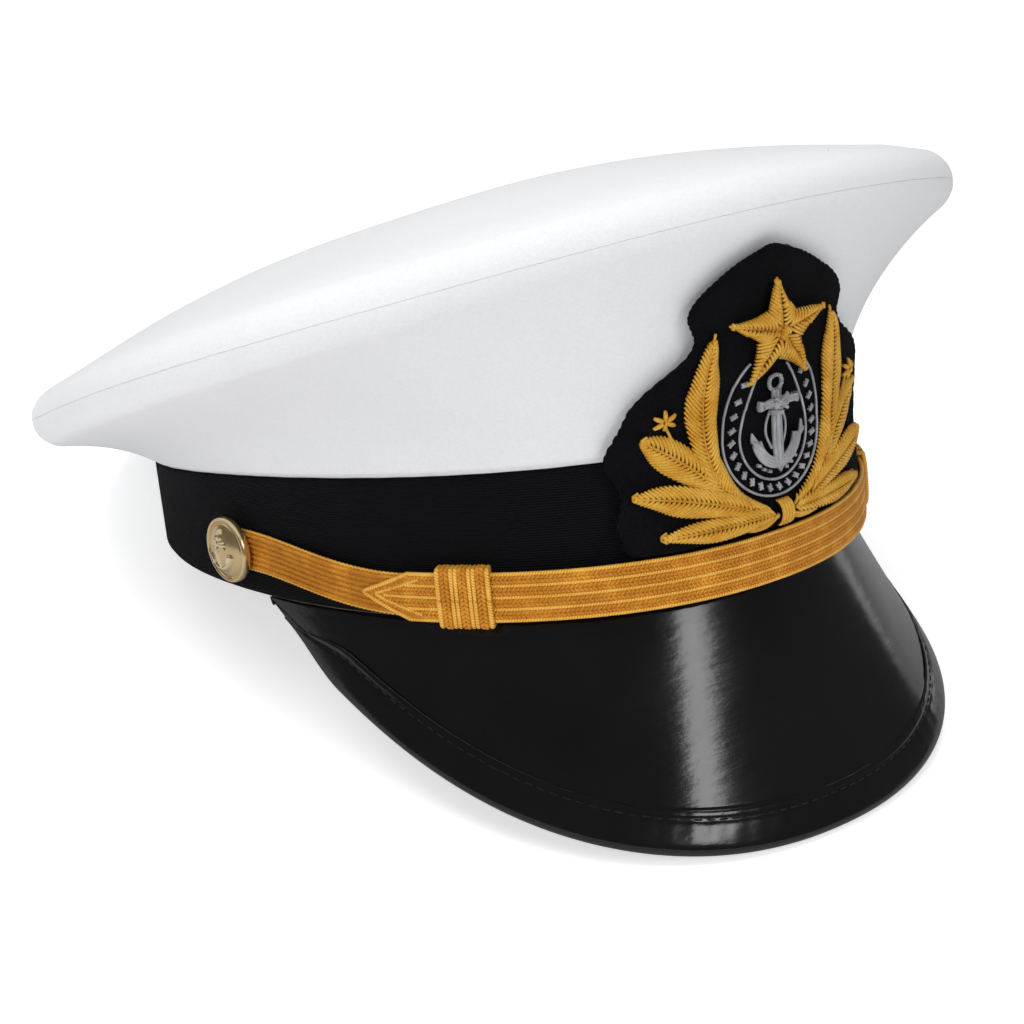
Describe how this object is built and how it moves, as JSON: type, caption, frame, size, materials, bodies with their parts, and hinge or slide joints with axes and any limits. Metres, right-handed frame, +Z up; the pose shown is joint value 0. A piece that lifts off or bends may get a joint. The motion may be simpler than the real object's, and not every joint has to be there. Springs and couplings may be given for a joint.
{
  "type": "military peaked cap",
  "caption": "White-topped peaked dress cap with black ribbed band, patent visor, gold braid chinstrap with sliding keepers and turning buttons, and an embroidered badge.",
  "frame": {"origin": "under the middle of the bounding box, on the surface that the cap rests on", "axes": "+Z up, the visor towards -Y, the wearer's left at +X; the band is pitched 14.3 degrees, front raised, because the cap rests on its visor edge and the rear of its band"},
  "size_m": [0.2402, 0.2898, 0.1491],
  "materials": {
    "cotton": "white fine-weave cotton",
    "mohair": "black ribbed mohair braid",
    "felt": "black felt",
    "patent": "black patent, high gloss",
    "visor_cloth": "dark matt lining",
    "fibre": null,
    "leather": "brown sweatband leather",
    "satin": "pale satin lining",
    "foam": "soft rim padding",
    "steel": "spring steel",
    "braid": "gold metallic braid",
    "bullion": "gold wire embroidery",
    "silver": "silver wire embroidery",
    "brass": "polished gilt brass"
  },
  "bodies": {
    "cap": {"anchor_arms": "silver", "anchor_ring": "silver", "anchor_shank": "silver", "anchor_stock": "silver", "badge_backing": "fibre", "badge_felt": "felt", "band_core": "fibre", "band_cover": "mohair", "bud_left": "bullion", "bud_right": "bullion", "crown_lining": "satin", "crown_side_left": "cotton", "crown_side_right": "cotton", "crown_top": "cotton", "front_stay": "fibre", "grommet_ferrule": "steel", "grommet_wire": "steel", "rim_padding": "foam", "silver_ring": "silver", "star": "bullion", "strap_over": "braid", "strap_under": "braid", "sweatband": "leather", "visor_binding": "patent", "visor_core": "fibre", "visor_lining": "visor_cloth", "visor_shell": "patent", "wreath_left": "bullion", "wreath_right": "bullion", "wreath_tie": "bullion"},
    "button_right": {"button_cap_right": "brass", "button_shank_right": "brass", "button_clip_right": "steel"},
    "button_left": {"button_cap_left": "brass", "button_shank_left": "brass", "button_clip_left": "steel"},
    "keeper_right": {"keeper_right": "braid"},
    "keeper_left": {"keeper_left": "braid"}
  },
  "joints": [
    {"name": "right_button_turn", "type": "hinge", "parent": "cap", "child": "button_right", "pos_m": [-0.08343, -0.008, 0.03827], "axis": [-0.9976, -0.0664, 0.0169], "continuous": true},
    {"name": "left_button_turn", "type": "hinge", "parent": "cap", "child": "button_left", "pos_m": [0.08343, -0.008, 0.03827], "axis": [0.9976, -0.0664, 0.0169], "continuous": true},
    {"name": "right_keeper_slide", "type": "hinge", "parent": "cap", "child": "keeper_right", "pos_m": [0.02515, -0.0175, 0.03491], "axis": [0, 0.2467, 0.9691], "range_deg": [-3.9, 5.3]},
    {"name": "left_keeper_slide", "type": "hinge", "parent": "cap", "child": "keeper_left", "pos_m": [-0.02515, -0.0175, 0.03491], "axis": [0, 0.2467, 0.9691], "range_deg": [-5.3, 3.9]}
  ]
}
